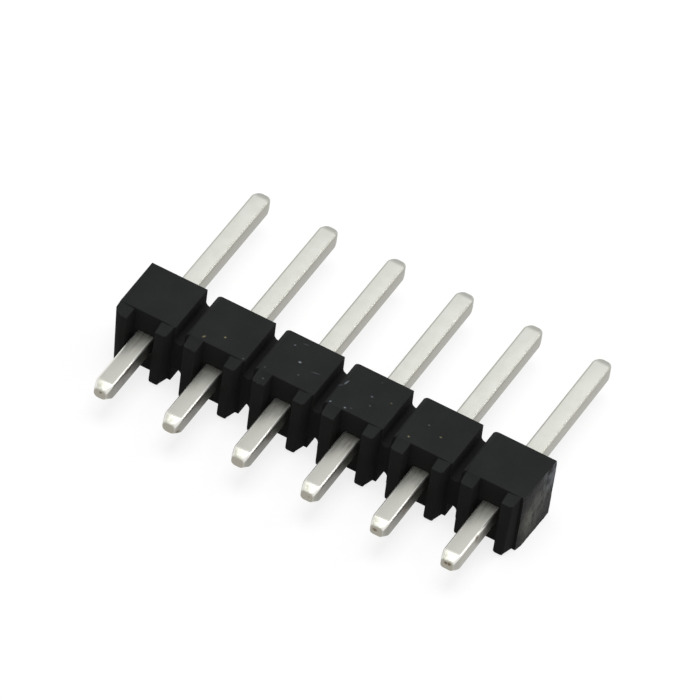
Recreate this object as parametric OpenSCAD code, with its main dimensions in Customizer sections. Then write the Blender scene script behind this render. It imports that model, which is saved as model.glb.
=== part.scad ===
// Single-row male pin header, lying on one side as it comes to rest.
// One moulded strip of square cells, joined by thin break-off webs, carries one straight square pin per cell.
// X runs along the row and Y along the pins, with the long posts towards +Y and the solder tails towards -Y.
// The strip rests on its lower side at Z = 0, and the origin lies under the middle of the whole part.

/* [Row] */
// Number of cells in the strip, with one pin in each
pin_count = 6; // [3:1:12]
// Distance from one pin to the next
pitch = 2.54; // [2.4:0.02:3]
// Distance from the first cell's outer rail to the moulded end of the strip
left_end = 0.06; // [0.02:0.01:0.2]
// Distance from the last cell's outer rail to the end where the strip was cut off
right_end = 0.21; // [0.05:0.01:0.25]

/* [Cells] */
// Height of a cell, from its lower side to its upper side
cell_h = 2.5; // [2.3:0.05:3]
// Depth of a cell, from the floor of its channel to the mating face
cell_d = 2.0; // [1.5:0.05:3]

/* [Notches] */
// Width of the notch between two cells
notch_w = 0.35; // [0.3:0.01:0.44]
// Step of each notch towards the moulded end, from the middle between its two pins
notch_shift = 0.06; // [0:0.01:0.1]
// Radius on the edge of a notch's mouth that is nearer to the cut end
mouth_r = 0.23; // [0.05:0.01:0.24]
// Distance from the pins' axes up to the bottom of the upper notches
web_up = 0.53; // [0.4:0.01:0.66]
// Distance from the pins' axes down to the bottom of the lower notches
web_down = 0.61; // [0.4:0.01:0.66]

/* [Standoffs] */
// Height of the standoff rails over the floor of the channel
rail_d = 0.48; // [0.3:0.02:0.7]
// Width of the channel between the two rails of a cell, at its floor
channel_w = 0.96; // [0.86:0.02:1.1]
// Step from the notch beside a cell back to its rail
rail_inset = 0.055; // [0.02:0.005:0.12]
// Draft of a rail's flanks, from its foot to its seat
rail_draft = 0.03; // [0:0.01:0.06]
// Slope of a rail's upper and lower ends, from its foot to its seat
rail_slope = 0.08; // [0:0.01:0.2]
// Radius on a rail's outer edge, beside the notch
rail_outer_r = 0.11; // [0.05:0.01:0.13]
// Radius on a rail's inner edge, beside the channel, and on its two ends
rail_inner_r = 0.05; // [0.02:0.01:0.06]

/* [Pins] */
// Width of the square pin
pin_w = 0.64; // [0.5:0.01:0.72]
// Radius along the four edges of a pin
pin_edge_r = 0.08; // [0.02:0.01:0.12]
// Length of a post beyond the mating face
post_l = 5.55; // [3:0.05:12]
// Length of a solder tail beyond the seat of the standoffs
tail_l = 2.36; // [1.5:0.02:4]
// Length of the coined taper at each tip
tip_l = 0.26; // [0.1:0.01:0.5]
// Width of the flat at the end of each tip
tip_w = 0.4; // [0.3:0.01:0.46]
// Room between a pin and each wall of its hole, for a pin that is pressed in
pin_clearance = 0.005; // [0:0.005:0.03]

/* [Hidden] */
$fn = 48;
eps = 0.01; // Overlap of solids that are joined, and overrun of cuts

notch_r = notch_w / 2;
notch_offset = pitch / 2 - notch_shift;
rail_in = channel_w / 2;
rail_out = notch_offset - notch_r - rail_inset;

row_l = left_end + 2 * rail_out + (pin_count - 1) * pitch + right_end;
part_d = post_l + cell_d + rail_d + tail_l;
pin_1_x = left_end + rail_out - row_l / 2;
axis_z = cell_h / 2;
mate_y = part_d / 2 - post_l;
floor_y = mate_y - cell_d;
seat_y = floor_y - rail_d;
tail_y = seat_y - tail_l;
post_y = mate_y + post_l;

function pin_x(i) = pin_1_x + (i - 1) * pitch;

// Convex outline with its own radius on each corner: points run counter-clockwise, radii may be 0
module rounded_outline(points, radii) {
    count = len(points);
    tangents = [for (i = [0:count - 1]) each corner_tangents(points, radii, i, count)];
    polygon(tangents);
    for (i = [0:count - 1]) {
        if (radii[i] > 0) translate(corner_centre(points, radii, i, count)) circle(r = radii[i]);
    }
}

function unit(v) = v / norm(v);
function to_prev(points, i, count) = unit(points[(i + count - 1) % count] - points[i]);
function to_next(points, i, count) = unit(points[(i + 1) % count] - points[i]);
function half_angle(points, i, count) =
    acos(to_prev(points, i, count) * to_next(points, i, count)) / 2;
function corner_tangents(points, radii, i, count) = radii[i] == 0
    ? [points[i]]
    : let (run = radii[i] / tan(half_angle(points, i, count)))
        [points[i] + to_prev(points, i, count) * run, points[i] + to_next(points, i, count) * run];
function corner_centre(points, radii, i, count) =
    points[i] + unit(to_prev(points, i, count) + to_next(points, i, count))
        * radii[i] / sin(half_angle(points, i, count));

// Turns an outline drawn in X and Z into a bar along Y, from y_from up to y_to
module along_y(y_from, y_to) {
    translate([0, y_to, 0]) rotate([90, 0, 0]) linear_extrude(height = y_to - y_from) children();
}

// Turns an outline drawn in Y and Z into a bar along X, from x_from up to x_to
module along_x(x_from, x_to) {
    translate([x_from, 0, 0]) rotate([90, 0, 90]) linear_extrude(height = x_to - x_from) children();
}

// Notch between two cells, drawn as if it opens upwards over the middle of the strip at the origin
module notch_outline(web) {
    bottom_z = web + notch_r;
    top_z = axis_z - mouth_r;
    translate([0, bottom_z]) circle(r = notch_r);
    translate([-notch_r, bottom_z]) square([notch_w, axis_z + eps - bottom_z]);
    translate([notch_r, top_z]) difference() {
        translate([-eps, 0]) square([mouth_r + eps, mouth_r + eps]);
        translate([mouth_r, 0]) circle(r = mouth_r);
    }
}

// Front view of the strip without its standoffs: cells and the webs between them
module strip_outline() {
    difference() {
        translate([-row_l / 2, -axis_z]) square([row_l, cell_h]);
        for (i = [1:pin_count - 1]) {
            translate([pin_x(i) + notch_offset, 0]) {
                notch_outline(web_up);
                mirror([0, 1]) notch_outline(web_down);
            }
        }
    }
}

// One rail of a cell, beside its channel on the +X side of the pin's axis
module rail() {
    foot_y = floor_y + eps;
    intersection() {
        translate([0, 0, -axis_z]) linear_extrude(height = cell_h) rounded_outline(
            [[rail_in, foot_y], [rail_in + rail_draft, seat_y],
             [rail_out - rail_draft, seat_y], [rail_out, foot_y]],
            [0, rail_inner_r, rail_outer_r, 0]);
        along_x(0, rail_out) rounded_outline(
            [[foot_y, -axis_z], [foot_y, axis_z],
             [seat_y, axis_z - rail_slope], [seat_y, rail_slope - axis_z]],
            [0, 0, rail_inner_r, rail_inner_r]);
    }
}

// Section of a pin, or of its hole when it is given some room
module pin_outline(room) {
    w = pin_w + 2 * room;
    r = pin_edge_r + room;
    square([w, w - 2 * r], center = true);
    square([w - 2 * r, w], center = true);
    for (x = [-1, 1], y = [-1, 1]) {
        translate([x, y] * (w / 2 - r)) circle(r = r);
    }
}

// Side view of a pin: straight, with a coined taper at both tips, drawn along the first axis
module tapered_outline() {
    w = pin_w / 2;
    t = tip_w / 2;
    polygon([
        [tail_y, -t], [tail_y + tip_l, -w], [post_y - tip_l, -w], [post_y, -t],
        [post_y, t], [post_y - tip_l, w], [tail_y + tip_l, w], [tail_y, t]
    ]);
}

module housing() {
    color([0.13, 0.13, 0.13]) translate([0, 0, axis_z]) difference() {
        union() {
            along_y(floor_y, mate_y) strip_outline();
            for (i = [1:pin_count], side = [0, 1]) {
                translate([pin_x(i), 0, 0]) mirror([side, 0, 0]) rail();
            }
        }
        for (i = [1:pin_count]) {
            translate([pin_x(i), 0, 0]) along_y(seat_y - eps, mate_y + eps) pin_outline(pin_clearance);
        }
    }
}

module pin(i) {
    color([0.78, 0.78, 0.75]) translate([pin_x(i), 0, axis_z]) intersection() {
        along_y(tail_y, post_y) pin_outline(0);
        translate([0, 0, -pin_w]) linear_extrude(height = 2 * pin_w) mirror([1, -1]) tapered_outline();
        along_x(-pin_w, pin_w) tapered_outline();
    }
}

housing();
for (i = [1:pin_count]) {
    pin(i);
}
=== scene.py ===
import math
import random
import bmesh
import bpy
from mathutils import Matrix, Vector, noise


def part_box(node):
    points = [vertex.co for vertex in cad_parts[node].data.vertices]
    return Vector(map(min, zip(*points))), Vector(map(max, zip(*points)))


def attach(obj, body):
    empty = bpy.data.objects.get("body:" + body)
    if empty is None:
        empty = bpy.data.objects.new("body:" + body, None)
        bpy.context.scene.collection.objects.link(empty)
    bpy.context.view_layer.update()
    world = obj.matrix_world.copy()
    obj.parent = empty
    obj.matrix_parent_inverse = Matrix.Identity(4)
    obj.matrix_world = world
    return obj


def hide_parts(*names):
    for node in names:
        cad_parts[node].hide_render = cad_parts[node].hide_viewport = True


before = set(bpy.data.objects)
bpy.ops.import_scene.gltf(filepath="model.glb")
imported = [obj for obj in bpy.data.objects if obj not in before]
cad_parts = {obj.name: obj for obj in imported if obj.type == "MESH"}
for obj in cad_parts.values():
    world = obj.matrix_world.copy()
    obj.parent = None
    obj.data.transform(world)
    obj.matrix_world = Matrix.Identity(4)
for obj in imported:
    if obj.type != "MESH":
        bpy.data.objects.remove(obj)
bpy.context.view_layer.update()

mm = 0.001  # lengths below are in millimetres, and meshes are scaled by this at the end
pinNumbers = range(1, 7)


def boxInMm(name):
    low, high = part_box(name)
    return Vector(low) / mm, Vector(high) / mm


housingLow, housingHigh = boxInMm("housing")
pinBoxes = [boxInMm("pin_%d" % number) for number in pinNumbers]
pinCentres = [(low.x + high.x) / 2 for low, high in pinBoxes]
axisZ = (housingLow.z + housingHigh.z) / 2
topZ = housingHigh.z
mateY = housingHigh.y  # the face that the posts stand out of
seatY = housingLow.y  # the ends of the standoff rails
tailEndY = pinBoxes[0][0].y
postEndY = pinBoxes[0][1].y


# meshes

def newObject(name, data):
    made = bpy.data.objects.new(name, data)
    bpy.context.scene.collection.objects.link(made)
    return made


def meshPiece(name, built, material, smoothAngle):
    built.normal_update()
    mesh = bpy.data.meshes.new(name)
    built.to_mesh(mesh)
    built.free()
    mesh.transform(Matrix.Scale(mm, 4))
    mesh.materials.append(material)
    for face in mesh.polygons:
        face.use_smooth = True
    mesh.set_sharp_from_angle(angle=math.radians(smoothAngle))
    return newObject(name, mesh)


def arcPoints(centre, radius, start, end, steps):
    points = []
    for step in range(steps + 1):
        turn = math.radians(start + (end - start) * step / steps)
        points.append((centre[0] + radius * math.cos(turn), centre[1] + radius * math.sin(turn)))
    return points


def roundedRectangle(halfWidth, halfHeight, radius, steps):
    points = []
    for corner, start in (((1, 1), 0), ((-1, 1), 90), ((-1, -1), 180), ((1, -1), 270)):
        middle = (corner[0] * (halfWidth - radius), corner[1] * (halfHeight - radius))
        points += arcPoints(middle, radius, start, start + 90, steps)
    return points


def joinRings(built, first, second):
    count = len(first)
    for index in range(count):
        after = (index + 1) % count
        built.faces.new((first[index], first[after], second[after], second[index]))


def prism(outline, place):
    # place turns a point of the outline and 0 or 1 into the point at that end of the prism
    built = bmesh.new()
    ends = [[built.verts.new(place(point, end)) for point in outline] for end in (0, 1)]
    built.faces.new(ends[0])
    built.faces.new(list(reversed(ends[1])))
    count = len(outline)
    for index in range(count):
        after = (index + 1) % count
        built.faces.new((ends[0][after], ends[0][index], ends[1][index], ends[1][after]))
    bmesh.ops.recalc_face_normals(built, faces=built.faces[:])
    return built


def scratchObject(name, built, material=None):
    mesh = bpy.data.meshes.new(name)
    built.to_mesh(mesh)
    built.free()
    if material:
        mesh.materials.append(material)
    return newObject(name, mesh)


def discard(target):
    mesh = target.data
    bpy.data.objects.remove(target)
    bpy.data.meshes.remove(mesh)


def applyModifiers(target):
    seen = target.evaluated_get(bpy.context.evaluated_depsgraph_get())
    finished = bpy.data.meshes.new_from_object(seen)
    old = target.data
    target.modifiers.clear()
    target.data = finished
    bpy.data.meshes.remove(old)


def combine(target, tool, operation, keepMaterial=False):
    modifier = target.modifiers.new("combine", "BOOLEAN")
    modifier.object = tool
    modifier.operation = operation
    modifier.solver = "EXACT"
    if keepMaterial:
        modifier.material_mode = "TRANSFER"
    applyModifiers(target)
    discard(tool)


# shader nodes

def newTree(name):
    material = bpy.data.materials.new(name)
    material.use_nodes = True
    material.node_tree.nodes.clear()
    return material, material.node_tree


def add(tree, kind, values=None, **settings):
    made = tree.nodes.new(kind)
    for key, value in settings.items():
        setattr(made, key, value)
    for key, value in (values or {}).items():
        if isinstance(value, bpy.types.NodeSocket):
            tree.links.new(value, made.inputs[key])
        else:
            made.inputs[key].default_value = value
    return made


def millimetres(tree):
    objectPlace = add(tree, "ShaderNodeTexCoord").outputs["Object"]
    return scaled(tree, objectPlace, (1 / mm, 1 / mm, 1 / mm))


def scaled(tree, place, factors):
    return add(tree, "ShaderNodeMapping", {"Vector": place, "Scale": factors}).outputs[0]


def noiseOf(tree, place, scale, detail=3.0, roughness=0.55):
    values = {"Vector": place, "Scale": scale, "Detail": detail, "Roughness": roughness}
    return add(tree, "ShaderNodeTexNoise", values).outputs[0]


def remap(tree, value, low, high, toLow=0.0, toHigh=1.0):
    values = {0: value, 1: low, 2: high, 3: toLow, 4: toHigh}
    return add(tree, "ShaderNodeMapRange", values).outputs[0]


def math2(tree, operation, first, second):
    return add(tree, "ShaderNodeMath", {0: first, 1: second}, operation=operation).outputs[0]


def times(tree, first, second):
    return math2(tree, "MULTIPLY", first, second)


def absolute(tree, value):
    return math2(tree, "ABSOLUTE", value, 0.0)


def mixColour(tree, factor, first, second):
    return add(tree, "ShaderNodeMix", {0: factor, 6: first, 7: second}, data_type="RGBA").outputs[2]


def mixNumber(tree, factor, first, second):
    return add(tree, "ShaderNodeMix", {0: factor, 2: first, 3: second}, data_type="FLOAT").outputs[0]


def grey(level):
    return (level, level, level, 1.0)


def spotMask(tree, place, centre, size, turn, soft):
    # 1 inside an ellipsoid, fading to 0 at its edge
    values = {"Vector": place, "Location": centre, "Rotation": (0, 0, math.radians(turn)), "Scale": size}
    local = add(tree, "ShaderNodeMapping", values, vector_type="TEXTURE").outputs[0]
    reach = add(tree, "ShaderNodeVectorMath", {0: local}, operation="LENGTH").outputs["Value"]
    return remap(tree, reach, 1.0, 1.0 - soft)


def anySpot(tree, masks):
    total = masks[0]
    for mask in masks[1:]:
        total = math2(tree, "MAXIMUM", total, mask)
    return total


def axisOf(tree, place, axis):
    return add(tree, "ShaderNodeSeparateXYZ", {0: place}).outputs[axis]


def objectNormal(tree):
    return add(tree, "ShaderNodeTexCoord").outputs["Normal"]


def wobbled(tree, place, scale, amount):
    # pushes the place to and fro, so that spots get uneven edges
    push = math2(tree, "SUBTRACT", noiseOf(tree, place, scale), 0.5)
    push = times(tree, push, amount)
    push = add(tree, "ShaderNodeCombineXYZ", {0: push, 1: push, 2: push}).outputs[0]
    return add(tree, "ShaderNodeVectorMath", {0: place, 1: push}, operation="ADD").outputs[0]


def plainlySeen(tree):
    # 1 for what the camera sees, also reflected in the tin, and 0 for the light that falls on things
    rays = add(tree, "ShaderNodeLightPath").outputs
    seen = math2(tree, "MAXIMUM", rays["Is Camera Ray"], rays["Is Glossy Ray"])
    return math2(tree, "MAXIMUM", seen, rays["Is Transmission Ray"])


def bumped(tree, height, strength, depth):
    values = {"Height": height, "Strength": strength, "Distance": depth * mm}
    return add(tree, "ShaderNodeBump", values).outputs[0]


def finishSurface(tree, values):
    shader = add(tree, "ShaderNodeBsdfPrincipled", values)
    add(tree, "ShaderNodeOutputMaterial", {0: shader.outputs[0]})


print("scene: loaded the frame")


# camera: the photograph's view, solved from the strip's own edges

view = {
    "place": (0.082343, -0.181733, 0.218473),
    "right": (0.86188, 0.49906, 0.08998),
    "down": (0.42206, -0.60761, -0.67281),
    "forward": (-0.28110, 0.61786, -0.73432),
    "lens": 476.09,
    "sensorWidth": 36,
    "clip": (0.01, 20),
}


def buildCamera():
    cameraData = bpy.data.cameras.new("photoCamera")
    cameraData.sensor_width = view["sensorWidth"]
    cameraData.lens = view["lens"]
    cameraData.clip_start, cameraData.clip_end = view["clip"]
    camera = newObject("photoCamera", cameraData)
    right = Vector(view["right"])
    up = -Vector(view["down"])
    back = -Vector(view["forward"])
    turn = Matrix((right, up, back)).transposed().to_4x4()
    camera.matrix_world = Matrix.Translation(view["place"]) @ turn
    bpy.context.scene.camera = camera


buildCamera()


# light: a soft room with a large panel overhead and two weaker ones behind on the right

light = {
    "roomStrength": 0.4,
    "panels": [  # places and sizes in metres
        {"name": "overhead", "place": (0.0, 0.02, 0.5), "size": 0.3, "watts": 1.12},
        {"name": "sideFill", "place": (0.5, 0.42, 0.19), "size": 0.2, "watts": 0.16},
        {"name": "edgeFill", "place": (0.23, 0.37, 0.41), "size": 0.1, "watts": 0.24},
    ],
}


def buildLight():
    world = bpy.data.worlds.new("softRoom")
    bpy.context.scene.world = world
    world.use_nodes = True
    tree = world.node_tree
    tree.nodes.clear()
    strength = mixNumber(tree, plainlySeen(tree), light["roomStrength"], 1.0)
    room = add(tree, "ShaderNodeBackground", {"Color": grey(1.0), "Strength": strength})
    add(tree, "ShaderNodeOutputWorld", {0: room.outputs[0]})
    for panel in light["panels"]:
        lampData = bpy.data.lights.new(panel["name"], "AREA")
        lampData.shape = "SQUARE"
        lampData.size = panel["size"]
        lampData.energy = panel["watts"]
        lamp = newObject(panel["name"], lampData)
        lamp.location = panel["place"]
        aim = -Vector(panel["place"])
        lamp.rotation_euler = aim.to_track_quat("-Z", "Y").to_euler()


buildLight()


# floor

floor = {
    "reach": 2500.0,
    "squares": 24,
    "smoothAngle": 40,
    "drop": 0.01,  # keeps it just clear of the flat underside
    "colour": 0.28,
    "mottled": 0.985,
    "roughness": (0.8, 0.95),
    "specular": 0.1,
    "glow": 0.78,  # brings it up to the white of the background
}


def floorMaterial():
    material, tree = newTree("whiteFloor")
    place = millimetres(tree)
    mottle = noiseOf(tree, place, 0.05)
    darker = floor["colour"] * floor["mottled"]
    low, high = floor["roughness"]
    matte = add(tree, "ShaderNodeBsdfPrincipled", {
        "Base Color": mixColour(tree, mottle, grey(floor["colour"]), grey(darker)),
        "Roughness": remap(tree, noiseOf(tree, place, 0.4), 0.3, 0.7, low, high),
        "Specular IOR Level": floor["specular"],
    })
    strength = times(tree, plainlySeen(tree), floor["glow"])
    glow = add(tree, "ShaderNodeEmission", {"Color": grey(1.0), "Strength": strength})
    both = add(tree, "ShaderNodeAddShader", {0: matte.outputs[0], 1: glow.outputs[0]})
    add(tree, "ShaderNodeOutputMaterial", {0: both.outputs[0]})
    return material


def buildFloor():
    built = bmesh.new()
    squares = floor["squares"]
    bmesh.ops.create_grid(built, x_segments=squares, y_segments=squares, size=floor["reach"])
    bmesh.ops.translate(built, vec=(0.0, 0.0, -floor["drop"]), verts=built.verts[:])
    meshPiece("floor", built, floorMaterial(), floor["smoothAngle"])


buildFloor()
print("scene: camera, light and floor")


# housing: strip of cells with notches, standoff rails and a torn right end

housing = {
    "cellDepth": 2.0,
    "notchShift": -0.06,
    "notchRadius": 0.175,
    "notchSteps": 22,
    "webUpper": 0.53,  # above the pins' axes
    "webLower": 0.61,  # below them
    "softRim": 0.23,  # radius on the right edge of a notch's mouth
    "softRimSteps": 10,
    "channelHalf": 0.48,
    "channelDraft": 0.03,
    "railDepth": 0.48,
    "railOut": (0.99, 0.955),  # pairs are for the left and the right rail of a cell
    "railDraft": (0.03, 0.05),
    "railOuterRadius": 0.1,
    "railOuterArc": (270, 350, 7),  # from and to which angle, and its steps
    "railTopSlope": 0.1,
    "railLowSlope": 0.06,
    "railRoot": 0.3,  # how far a rail reaches into its cell
    "railSunk": 0.002,  # how far its ends stay inside the cell's upper and lower side
    "railMiddle": 0.7,  # parts its inner half from its outer half
    "topLean": 0.035,
    "lowLean": 0.01,
    "lowTaper": 0.05,  # of a right rail's outer half, at its lower end
    "firstRailOut": 1.025,  # this rail is flush with the moulded end
    "firstRailCorner": [(0.72, 0.0), (0.93, 0.1), (1.017, 0.215)],  # across, and back from the seat
    "firstRailCut": 0.33,  # how much narrower its lower end gets
    "holeHalf": 0.335,
    "holeRadius": 0.1,
    "holeSteps": 5,
    "stripRound": 0.014,
    "railRound": 0.02,
    "roundSegments": 3,
    "roundAngle": 35,  # sharper edges than this are rounded
    "smoothAngle": 38,
    "heelRound": 0.08,
    "heelSegments": 4,
    "heelHeight": 0.3,  # edges that lie lower than this are heels
    "endDraft": 0.01,
    "tearSteps": (96, 110),
    "tearMargin": 0.3,
    "tearDepth": 0.022,
    "tearShares": (0.45, 0.45, 0.18),  # even part, streaks and grain
    "tearSlant": (0.035, 0.045),  # down the face, and along it to the front
    "tearFront": (1.55, 0.45),  # where the front edge's roll starts, from the mating face, and its run
    "tearUpper": 0.22,  # run of the upper edge's roll
    "tearCorner": (0.3, 0.2),  # reach of the low front corner's roll
    "tearEdges": (0.05, 0.02, 0.01),  # how far front, upper edge and corner roll in
}

footY = seatY + housing["railDepth"]


def notchOutline(centre, up):
    # from left to right across the mouth, for the upper side when up is 1 and the lower when -1
    radius = housing["notchRadius"]
    soft = housing["softRim"]
    half = topZ / 2
    bottom = housing["webUpper"] if up > 0 else housing["webLower"]
    points = [(-radius, half)]
    points += arcPoints((0, bottom + radius), radius, 180, 360, housing["notchSteps"])
    points += arcPoints((radius + soft, half - soft), soft, 180, 90, housing["softRimSteps"])
    return [(centre + housing["notchShift"] + x, axisZ + up * z) for x, z in points]


def stripOutline():
    middles = [(a + b) / 2 for a, b in zip(pinCentres, pinCentres[1:])]
    points = [(housingLow.x, 0.0)]
    for middle in middles:
        points += notchOutline(middle, -1)
    points += [(housingHigh.x, 0.0), (housingHigh.x, topZ)]
    for middle in reversed(middles):
        points += reversed(notchOutline(middle, 1))
    points.append((housingLow.x, topZ))
    return points


def railOutline(centre, side, first):
    low = housing["channelHalf"]
    high = housing["firstRailOut"] if first else housing["railOut"][side > 0]
    draft = housing["railDraft"][side > 0]
    radius = housing["railOuterRadius"]
    root = footY + housing["railRoot"]
    points = [(low, root), (low, footY), (low + housing["channelDraft"], seatY)]
    if first:
        points += [(x, seatY + back) for x, back in housing["firstRailCorner"]]
    else:
        middle = (high - draft - radius, seatY + radius)
        points += arcPoints(middle, radius, *housing["railOuterArc"])
    points += [(high, footY), (high, root)]
    return [(centre + side * x, y) for x, y in points]


def railSolid(centre, side):
    sunk = housing["railSunk"]
    right = side > 0
    first = not right and centre == pinCentres[0]

    def place(point, end):
        x, y = point
        ahead = max(0.0, footY - y) / (footY - seatY)
        if end:
            lean = housing["topLean"] if right else 0.0
            return (x + lean, y, topZ - sunk - housing["railTopSlope"] * ahead)
        outer = abs(x - centre) > housing["railMiddle"]
        if right:
            x -= housing["lowLean"] + housing["lowTaper"] * ahead * outer
        elif first:
            inner = centre - housing["channelHalf"]
            x = inner + (x - inner) * (1 - housing["firstRailCut"] * ahead)
        return (x, y, sunk + housing["railLowSlope"] * ahead)

    return prism(railOutline(centre, side, first), place)


def holeSolid(centre):
    half = housing["holeHalf"]
    ends = (seatY - 1, mateY + 1)
    outline = roundedRectangle(half, half, housing["holeRadius"], housing["holeSteps"])
    return prism(outline, lambda point, end: (centre + point[0], ends[end], axisZ + point[1]))


def rounded(target, width):
    rounding = target.modifiers.new("rounding", "BEVEL")
    rounding.width = width
    rounding.segments = housing["roundSegments"]
    rounding.limit_method = "ANGLE"
    rounding.angle_limit = math.radians(housing["roundAngle"])
    applyModifiers(target)
    return target


def roundHeels(rails):
    # the long edges under the rails, which are softer than the others
    heels = []
    for edge in rails.edges:
        first, second = edge.verts[0].co, edge.verts[1].co
        run = second - first
        isLow = max(first.z, second.z) < housing["heelHeight"]
        if isLow and abs(run.y) > abs(run.x) + abs(run.z):
            heels.append(edge)
    radius = housing["heelRound"]
    steps = housing["heelSegments"]
    bmesh.ops.bevel(rails, geom=heels, offset=radius, segments=steps, affect="EDGES", profile=0.5)
    return rails


def joined(solids):
    # one bmesh from several that don't touch
    whole = bmesh.new()
    for solid in solids:
        mesh = bpy.data.meshes.new("part")
        solid.to_mesh(mesh)
        solid.free()
        whole.from_mesh(mesh)
        bpy.data.meshes.remove(mesh)
    return whole


def tearSolid():
    # everything beyond a rough sheet that stands just inside the right end
    built = bmesh.new()
    margin = housing["tearMargin"]
    lowY, highY = seatY - margin, mateY + margin
    lowZ, highZ = -margin, topZ + margin
    stepsY, stepsZ = housing["tearSteps"]
    sheet = []
    for row in range(stepsZ + 1):
        line = []
        for column in range(stepsY + 1):
            y = lowY + (highY - lowY) * column / stepsY
            z = lowZ + (highZ - lowZ) * row / stepsZ
            line.append(built.verts.new((tearX(y, z), y, z)))
        sheet.append(line)
    for row in range(stepsZ):
        for column in range(stepsY):
            built.faces.new((sheet[row][column], sheet[row + 1][column],
                             sheet[row + 1][column + 1], sheet[row][column + 1]))
    rim = [edge for edge in built.edges if edge.is_boundary]
    grown = bmesh.ops.extrude_edge_only(built, edges=rim)["geom"]
    for vert in [item for item in grown if isinstance(item, bmesh.types.BMVert)]:
        vert.co.x = housingHigh.x + 1
    far = [edge for edge in built.edges if edge.is_boundary]
    bmesh.ops.contextual_create(built, geom=far)
    bmesh.ops.recalc_face_normals(built, faces=built.faces[:])
    return built


def tearX(y, z):
    # how far right the torn face stands at this place
    streak = noise.fractal(Vector((0.7, y * 3.2 + z * 1.4, z * 1.1)), 0.8, 2.0, 4)
    grain = noise.fractal(Vector((3.1, y * 11, z * 9)), 0.9, 2.0, 3)
    evenShare, streakShare, grainShare = housing["tearShares"]
    rough = housing["tearDepth"] * (evenShare + streakShare * streak + grainShare * grain)
    down, forward = housing["tearSlant"]
    slant = down * (1 - z / topZ) + forward * (mateY - y) / housing["cellDepth"]
    start, run = housing["tearFront"]
    front = clamped((mateY - start - y) / run)
    upper = clamped((z - topZ + housing["tearUpper"]) / housing["tearUpper"])
    cornerY, cornerZ = housing["tearCorner"]
    fromCorner = math.hypot((y - (mateY - housing["cellDepth"])) / cornerY, z / cornerZ)
    frontRoll, upperRoll, cornerRoll = housing["tearEdges"]
    edges = frontRoll * front ** 2.5 + upperRoll * upper ** 2 + cornerRoll * max(0.0, 1 - fromCorner)
    return housingHigh.x - max(0.0, rough + slant + edges)


def clamped(value):
    return min(1.0, max(0.0, value))


plastic = {
    "deep": (0.0185, 0.0198, 0.0184, 1.0),
    "dark": (0.0148, 0.0161, 0.0156, 1.0),
    "worn": (0.0191, 0.0207, 0.0201, 1.0),
    "specular": 0.075,
    "roughness": (0.5, 0.66),
    "deepRoughness": 0.9,
    "cloud": 1.1,
    "grain": 11.0,
    "bump": (0.35, 0.01),  # strength and depth
    "fleck": (0.024, 0.024, 0.024, 1.0),
    "coolSpeckAndHighlight": (0.26, 0.29, 0.33, 1.0),
    "warmSpeck": (0.3, 0.27, 0.16, 1.0),
    "speckDepth": 0.3,
    "speckSoftness": 0.8,
    "speckWobble": (24.0, 0.02),
    "tornDark": (0.0145, 0.015, 0.0145, 1.0),
    "tornTurn": -28,  # slope of its streaks
    "tornStretch": (1.0, 2.4, 0.9),
    "tornRoughness": (0.6, 0.85),
    "tornSpecular": 0.16,
    "tornBlotch": 2.1,
    "tornGrain": 14.0,
    "tornBump": (0.6, 0.03),
    "patchSoftness": 0.75,
    "tornPatches": [  # middle, half sizes and colour
        ((7.4, -1.70, 1.00), (0.5, 0.75, 1.2), (0.158, 0.155, 0.138, 1.0)),
        ((7.4, -0.95, 1.50), (0.5, 0.9, 1.2), (0.148, 0.148, 0.141, 1.0)),
        ((7.4, -0.45, 2.30), (0.5, 0.75, 1.1), (0.44, 0.475, 0.53, 1.0)),
        ((7.4, -1.17, 1.02), (0.5, 0.2, 0.28), (0.01, 0.01, 0.01, 1.0)),
        ((7.4, -1.50, 0.97), (0.5, 0.17, 0.3), (0.012, 0.012, 0.011, 1.0)),
    ],
    "topSpots": [  # place, half sizes across, turn, strength: dust specks, and one painted highlight
        ((-1.38, -1.38), (0.07, 0.05), 10, 1.0),
        ((-1.15, -1.88), (0.045, 0.035), 0, 0.35),
        ((-1.88, -0.83), (0.05, 0.035), 30, 0.5),
        ((-0.73, -1.50), (0.2, 0.026), 11, 0.25),
        ((-1.59, -0.61), (0.14, 0.04), 8, 0.12),
        # painted highlight on a rail's top corner in the second cell, drawn like a speck
        ((-2.95, -2.28), (0.05, 0.03), 0, 0.3),
        ((-2.20, -2.19), (0.05, 0.04), 0, 0.2),
        ((-2.02, -2.60), (0.05, 0.04), 0, 0.3),
        ((-2.15, -2.88), (0.12, 0.04), 30, 0.25),
        ((0.25, -2.27), (0.06, 0.04), 40, 0.7),
        ((0.77, -2.24), (0.055, 0.04), 0, 0.9),
        ((0.95, -2.15), (0.06, 0.04), 0, 0.15),
        ((0.15, -1.46), (0.14, 0.04), 20, 0.2),
        ((0.28, -1.28), (0.15, 0.04), 78, 0.6),
        ((1.25, -1.35), (0.055, 0.045), 0, 0.45),
        ((1.39, -1.72), (0.045, 0.035), 0, 0.35),
        ((1.22, -0.65), (0.04, 0.03), 0, 0.15),
        ((3.35, -1.36), (0.05, 0.04), 0, 0.3),
    ],
    "warmSpecks": [
        ((-4.46, -2.17), (0.085, 0.045), 60, 0.7),
        ((-3.88, -1.82), (0.05, 0.045), 20, 0.9),
        ((1.90, -1.24), (0.045, 0.035), 0, 0.45),
        ((3.05, -2.15), (0.05, 0.04), 0, 0.9),
        ((3.91, -1.60), (0.06, 0.035), 0, 0.7),
    ],
}


def topSpotMasks(tree, place, topSpots):
    masks = []
    for centre, size, turn, strength in topSpots:
        middle = (centre[0], centre[1], topZ)
        reach = (size[0], size[1], plastic["speckDepth"])
        spot = spotMask(tree, place, middle, reach, turn, plastic["speckSoftness"])
        masks.append(times(tree, spot, strength))
    return anySpot(tree, masks)


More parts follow.
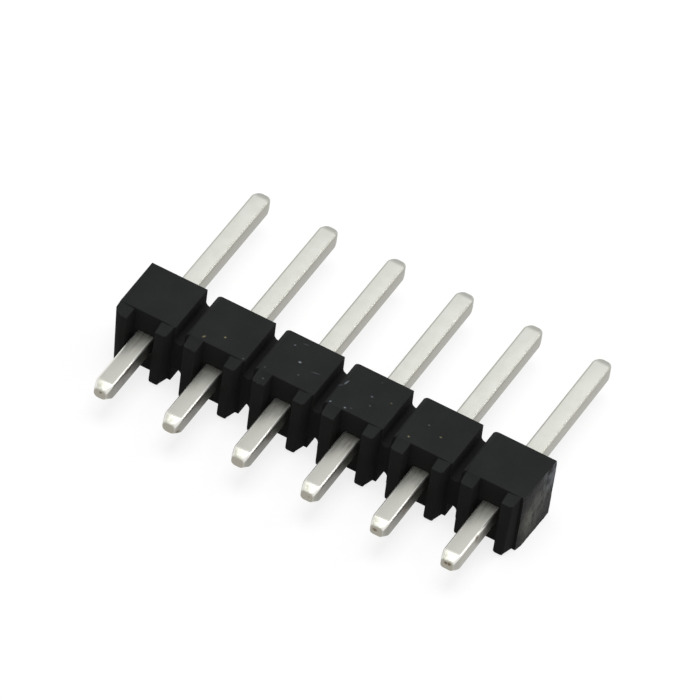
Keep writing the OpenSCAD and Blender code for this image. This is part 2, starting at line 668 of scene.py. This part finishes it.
def flatOuterMask(tree, place):
    # 1 on the outer faces that lie flat, which take the cloudy colour; the fronts and recesses take the
    # deep colour and are rougher
    flat = absolute(tree, axisOf(tree, objectNormal(tree), 2))
    fromAxis = absolute(tree, math2(tree, "SUBTRACT", axisOf(tree, place, 2), axisZ))
    return times(tree, remap(tree, flat, 0.5, 0.9), remap(tree, fromAxis, 0.95, 1.1))


def plasticMaterial():
    material, tree = newTree("blackPlastic")
    place = millimetres(tree)
    cloud = noiseOf(tree, place, plastic["cloud"])
    grain = noiseOf(tree, place, plastic["grain"], 4.0, 0.65)
    flatOuter = flatOuterMask(tree, place)
    colour = mixColour(tree, remap(tree, cloud, 0.35, 0.7), plastic["dark"], plastic["worn"])
    colour = mixColour(tree, flatOuter, plastic["deep"], colour)
    fleck = remap(tree, grain, 0.58, 0.75, 0.0, 0.35)
    colour = mixColour(tree, fleck, colour, plastic["fleck"])
    uneven = wobbled(tree, place, *plastic["speckWobble"])
    coolSpecksAndHighlight = topSpotMasks(tree, uneven, plastic["topSpots"])
    warm = topSpotMasks(tree, uneven, plastic["warmSpecks"])
    # pale dust specks, with one painted highlight among them
    colour = mixColour(tree, coolSpecksAndHighlight, colour, plastic["coolSpeckAndHighlight"])
    colour = mixColour(tree, warm, colour, plastic["warmSpeck"])
    low, high = plastic["roughness"]
    roughness = remap(tree, grain, 0.3, 0.7, low, high)
    finishSurface(tree, {
        "Base Color": colour,
        "Roughness": mixNumber(tree, flatOuter, plastic["deepRoughness"], roughness),
        "Specular IOR Level": plastic["specular"],
        "Normal": bumped(tree, grain, *plastic["bump"]),
    })
    return material


def tornMaterial():
    material, tree = newTree("tornPlastic")
    place = millimetres(tree)
    turned = add(tree, "ShaderNodeMapping", {
        "Vector": place,
        "Rotation": (math.radians(plastic["tornTurn"]), 0, 0),
        "Scale": plastic["tornStretch"],
    }).outputs[0]
    streaks = noiseOf(tree, turned, 1.0, 4.0, 0.6)
    blotch = noiseOf(tree, place, plastic["tornBlotch"])
    grain = noiseOf(tree, place, plastic["tornGrain"])
    uneven = remap(tree, mixNumber(tree, 0.5, streaks, blotch), 0.4, 0.58)
    colour = plastic["tornDark"]
    for centre, size, shade in plastic["tornPatches"]:
        patch = spotMask(tree, place, centre, size, 0, plastic["patchSoftness"])
        colour = mixColour(tree, times(tree, patch, uneven), colour, shade)
    low, high = plastic["tornRoughness"]
    finishSurface(tree, {
        "Base Color": colour,
        "Roughness": remap(tree, grain, 0.3, 0.7, low, high),
        "Specular IOR Level": plastic["tornSpecular"],
        "Normal": bumped(tree, mixNumber(tree, 0.4, streaks, grain), *plastic["tornBump"]),
    })
    return material


def buildHousing():
    black = plasticMaterial()
    torn = tornMaterial()
    ends = (footY, mateY)

    def place(point, end):
        isLeftFoot = point[0] == housingLow.x and not end
        draft = housing["endDraft"] if isLeftFoot else 0.0
        return (point[0] + draft, ends[end], point[1])

    strip = prism(stripOutline(), place)
    body = rounded(scratchObject("strip", strip, black), housing["stripRound"])
    rails = joined([railSolid(centre, side) for centre in pinCentres for side in (-1, 1)])
    rails = scratchObject("rails", roundHeels(rails))
    combine(body, rounded(rails, housing["railRound"]), "UNION")
    holes = joined([holeSolid(centre) for centre in pinCentres])
    combine(body, scratchObject("holes", holes), "DIFFERENCE")
    combine(body, scratchObject("tear", tearSolid(), torn), "DIFFERENCE", keepMaterial=True)
    finished = bmesh.new()
    finished.from_mesh(body.data)
    manySided = [face for face in finished.faces if len(face.verts) > 4]
    bmesh.ops.triangulate(finished, faces=manySided)
    piece = meshPiece("housing_moulded", finished, black, housing["smoothAngle"])
    piece.data.materials.append(torn)
    evened = piece.modifiers.new("evened", "WEIGHTED_NORMAL")
    evened.keep_sharp = True
    applyModifiers(piece)
    discard(body)
    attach(piece, "root")
    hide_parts("housing")
    print("scene: housing has", len(piece.data.polygons), "faces")


buildHousing()


# pins: drawn square wire with coined, rounded tips

pins = {
    "half": 0.32,  # of the wire's width
    "edgeRadius": 0.085,
    "cornerSteps": 5,
    "lengthSteps": 12,
    "smoothAngle": 60,
    "tailTip": [  # distance from the end, half height and half width there
        (0.0, 0.16, 0.195), (0.008, 0.178, 0.211), (0.024, 0.194, 0.226), (0.055, 0.211, 0.241),
        (0.1, 0.232, 0.258), (0.16, 0.258, 0.278), (0.22, 0.284, 0.295), (0.27, 0.305, 0.307),
        (0.31, 0.316, 0.314), (0.36, 0.3198, 0.318), (0.41, 0.32, 0.32),
    ],
    "postTip": [
        (0.0, 0.195, 0.19), (0.008, 0.213, 0.208), (0.025, 0.23, 0.225), (0.06, 0.249, 0.245),
        (0.1, 0.266, 0.263), (0.15, 0.284, 0.281), (0.2, 0.299, 0.297), (0.25, 0.31, 0.31),
        (0.3, 0.317, 0.318), (0.34, 0.32, 0.32),
    ],
    "tailSoftening": [0.6, 0.6, 0.45, 0.35, 0.2, 0.15],  # rounder edges towards each tail's end
    "postSoftening": 0.6,
    "leastFlat": 0.005,  # stays between the rounded edges of a tail's end
    "dome": 0.012,
    "domeSteps": 4,
    "tailInset": 0.001,
    "tailShort": [0.0, 0.0, 0.0, 0.005, 0.0, 0.04],
    "postSpread": 0.015,  # the posts' ends are up to this much uneven
    "seed": 40,
}

tin = {
    "pale": (0.625, 0.628, 0.585, 1.0),
    "dull": (0.59, 0.593, 0.548, 1.0),
    "tail": (0.475, 0.475, 0.435, 1.0),
    "postEdge": (0.44, 0.44, 0.4, 1.0),
    # painted highlight for the tails' rounded edges
    "tailEdgeHighlight": (0.78, 0.775, 0.73, 1.0),
    # painted shade for the wires' sides, darker still on the tails' right sides
    "side": (0.37, 0.362, 0.322, 1.0),
    "innerSideShade": (0.155, 0.15, 0.132, 1.0),
    "coined": (0.585, 0.583, 0.52, 1.0),
    "coinedDull": (0.46, 0.462, 0.402, 1.0),
    "postTip": (0.4, 0.4, 0.365, 1.0),
    "scrapedAndShaded": (0.2, 0.17, 0.13, 1.0),
    "sheared": (0.33, 0.311, 0.262, 1.0),
    "brown": (0.1, 0.065, 0.03, 1.0),
    "drawnStretch": (7.0, 1.1, 7.0),
    "cloud": 2.4,
    "fine": 16.0,
    "mottle": 6.5,
    "scrapeStretch": (14.0, 1.2, 14.0),
    "scrapeAndShadeStrength": 0.5,
    "postRoot": (1.2, 0.1),  # scrapes and painted shade fade in between these distances from the housing
    "tailRoot": (0.75, -0.1),
    "tailCoined": (0.34, 0.24),  # the pressed tin fades in between these distances from the tip
    "postCoined": (0.34, 0.2),
    "lastPinX": 5.0,
    "roughness": (0.34, 0.42),
    "coinedRoughness": 0.36,
    "bump": (0.08, 0.01),
    "spots": [  # brass that shows through the tin at the tails' ends
        ((-6.39, -5.17, 1.36), (0.065, 0.06, 0.06)),
        ((-3.59, -5.08, 1.11), (0.13, 0.18, 0.13)),
        ((1.28, -5.16, 1.31), (0.04, 0.05, 0.04)),
        ((3.69, -5.17, 1.31), (0.13, 0.06, 0.085)),
        ((6.24, -5.14, 1.35), (0.1, 0.06, 0.075)),
        ((6.36, -5.14, 1.36), (0.09, 0.06, 0.09)),
    ],
    "sideBrownPatches": [  # brown patches on the tails' right sides
        ((-6.105, -3.99, 1.46), (0.08, 0.2, 0.12)),
        ((-3.565, -3.86, 1.45), (0.08, 0.2, 0.12)),
        ((-1.025, -3.77, 1.36), (0.08, 0.2, 0.16)),
        ((1.515, -3.66, 1.45), (0.08, 0.14, 0.1)),
        ((4.055, -3.90, 1.28), (0.08, 0.3, 0.22)),
        ((6.595, -3.81, 1.48), (0.08, 0.13, 0.2)),
    ],
}


def pinRings(lowY, highY, softening):
    # places along the pin with the half height, half width and edge radius there
    full = pins["half"]
    rounding = pins["edgeRadius"]
    rings = []
    for distance, height, width in pins["tailTip"]:
        radius = min(rounding + softening * (full - height), height - pins["leastFlat"])
        rings.append((lowY + distance, height, width, radius))
    start = rings[-1][0]
    finish = highY - pins["postTip"][-1][0]
    steps = pins["lengthSteps"]
    for step in range(1, steps):
        rings.append((start + (finish - start) * step / steps, full, full, rounding))
    for distance, height, width in reversed(pins["postTip"]):
        radius = rounding + pins["postSoftening"] * (full - height)
        rings.append((highY - distance, height, width, radius))
    return rings


def capTip(built, ring, outward):
    # rounded cap from a ring of the pin: shrinking rings, then a middle point
    dome = pins["dome"]
    steps = pins["domeSteps"]
    count = len(ring)
    centre = sum((vert.co for vert in ring), Vector()) / count
    last = ring
    for step in range(1, steps):
        shrink = 1 - step / steps
        bulge = dome * (1 - shrink ** 2)
        line = []
        for vert in ring:
            spot = centre + (vert.co - centre) * shrink
            spot.y = centre.y + outward * bulge
            line.append(built.verts.new(spot))
        joinRings(built, last, line)
        last = line
    tip = built.verts.new((centre.x, centre.y + outward * dome, centre.z))
    for index in range(count):
        built.faces.new((last[index], last[(index + 1) % count], tip))


def buildPin(number, material):
    low, high = pinBoxes[number - 1]
    centreX = pinCentres[number - 1]
    chance = random.Random(pins["seed"] + number)
    tailEnd = low.y + pins["dome"] + pins["tailInset"] + pins["tailShort"][number - 1]
    postEnd = high.y - pins["dome"] - chance.uniform(0.0, pins["postSpread"])
    built = bmesh.new()
    rings = []
    for y, height, width, radius in pinRings(tailEnd, postEnd, pins["tailSoftening"][number - 1]):
        section = roundedRectangle(width, height, radius, pins["cornerSteps"])
        rings.append([built.verts.new((centreX + x, y, axisZ + z)) for x, z in section])
    for first, second in zip(rings, rings[1:]):
        joinRings(built, first, second)
    capTip(built, rings[0], -1)
    capTip(built, rings[-1], 1)
    bmesh.ops.recalc_face_normals(built, faces=built.faces[:])
    piece = meshPiece("pin_wire_%d" % number, built, material, pins["smoothAngle"])
    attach(piece, "root")
    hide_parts("pin_%d" % number)


def wireColour(tree, place, along, isPost, drawn):
    # satin tin along the wire, darker in streaks next to the housing: partly scrapes from pressing it
    # through, partly painted shade
    shade = mixNumber(tree, 0.75, drawn, noiseOf(tree, place, tin["cloud"]))
    colour = mixColour(tree, remap(tree, shade, 0.38, 0.62), tin["dull"], tin["pale"])
    colour = mixColour(tree, isPost, tin["tail"], colour)
    far, near = tin["postRoot"]
    postRoot = remap(tree, along, mateY + far, mateY + near, 0.0, 0.5)
    far, near = tin["tailRoot"]
    tailRoot = remap(tree, along, seatY - far, seatY - near)
    root = mixNumber(tree, isPost, tailRoot, postRoot)
    # streaks of scrapes and painted shade, strongest next to the housing
    scrapesAndShade = noiseOf(tree, scaled(tree, place, tin["scrapeStretch"]), 1.0, 3.0, 0.6)
    scrapesAndShade = times(tree, remap(tree, scrapesAndShade, 0.46, 0.64), root)
    return mixColour(tree, times(tree, scrapesAndShade, tin["scrapeAndShadeStrength"]), colour, tin["scrapedAndShaded"])


def coinedColour(tree, place):
    mottle = remap(tree, noiseOf(tree, place, tin["mottle"], 2.0), 0.42, 0.56)
    return mixColour(tree, mottle, tin["coinedDull"], tin["coined"])


def sideShadeColour(tree, place, along, rightward):
    # painted shade on the wires' sides: the tails' right sides are darker along the middle, where the
    # next tail shades them
    lastX = tin["lastPinX"]
    inner = remap(tree, axisOf(tree, place, 0), lastX, lastX + 0.1, 1.0, 0.0)
    inner = times(tree, inner, remap(tree, rightward, 0.0, 0.1))
    inner = times(tree, inner, remap(tree, along, tailEndY, tailEndY + 1.0, 0.25, 1.0))
    inner = times(tree, inner, remap(tree, along, tailEndY + 1.5, tailEndY + 2.3, 1.0, 0.0))
    return mixColour(tree, inner, tin["side"], tin["innerSideShade"])


def withBrownPatches(tree, place, fine, colour):
    uneven = remap(tree, fine, 0.3, 0.5, 0.6, 1.0)
    for spots, strength in ((tin["spots"], 1.0), (tin["sideBrownPatches"], 0.85)):
        masks = [spotMask(tree, place, centre, size, 0, 0.7) for centre, size in spots]
        mask = times(tree, anySpot(tree, masks), strength)
        colour = mixColour(tree, times(tree, mask, uneven), colour, tin["brown"])
    return colour


def tinMaterial():
    material, tree = newTree("satinTin")
    place = millimetres(tree)
    along = axisOf(tree, place, 1)
    isPost = remap(tree, along, mateY - 1.0, mateY - 0.9)
    drawn = noiseOf(tree, scaled(tree, place, tin["drawnStretch"]), 1.0, 4.0, 0.6)
    fine = noiseOf(tree, place, tin["fine"])
    rightward = axisOf(tree, objectNormal(tree), 0)
    sideways = absolute(tree, rightward)
    endways = absolute(tree, axisOf(tree, objectNormal(tree), 1))
    upwards = absolute(tree, axisOf(tree, objectNormal(tree), 2))
    far, near = tin["tailCoined"]
    coined = remap(tree, along, tailEndY + far, tailEndY + near)
    coined = times(tree, coined, remap(tree, upwards, 0.45, 0.8))
    far, near = tin["postCoined"]
    postTip = remap(tree, along, postEndY - far, postEndY - near)
    colour = wireColour(tree, place, along, isPost, drawn)
    colour = mixColour(tree, coined, colour, coinedColour(tree, place))
    colour = mixColour(tree, postTip, colour, tin["postTip"])
    # painted highlight along the tails' rounded edges; the posts' rounded edges take a darker colour
    edge = remap(tree, times(tree, sideways, upwards), 0.1, 0.3)
    colour = mixColour(tree, edge, colour, mixColour(tree, isPost, tin["tailEdgeHighlight"], tin["postEdge"]))
    side = sideShadeColour(tree, place, along, rightward)
    # painted shade on the wires' left and right sides
    colour = mixColour(tree, remap(tree, sideways, 0.75, 0.95), colour, side)
    colour = mixColour(tree, remap(tree, endways, 0.55, 0.9, 0.0, 0.9), colour, tin["sheared"])
    low, high = tin["roughness"]
    roughness = remap(tree, mixNumber(tree, 0.2, fine, drawn), 0.3, 0.7, low, high)
    finishSurface(tree, {
        "Base Color": withBrownPatches(tree, place, fine, colour),
        "Metallic": 1.0,
        "Roughness": mixNumber(tree, coined, roughness, tin["coinedRoughness"]),
        "Normal": bumped(tree, fine, *tin["bump"]),
    })
    return material


def buildPins():
    material = tinMaterial()
    for number in pinNumbers:
        buildPin(number, material)
    print("scene:", len(pinNumbers), "pins")


buildPins()

bpy.context.scene.view_settings.view_transform = "Standard"
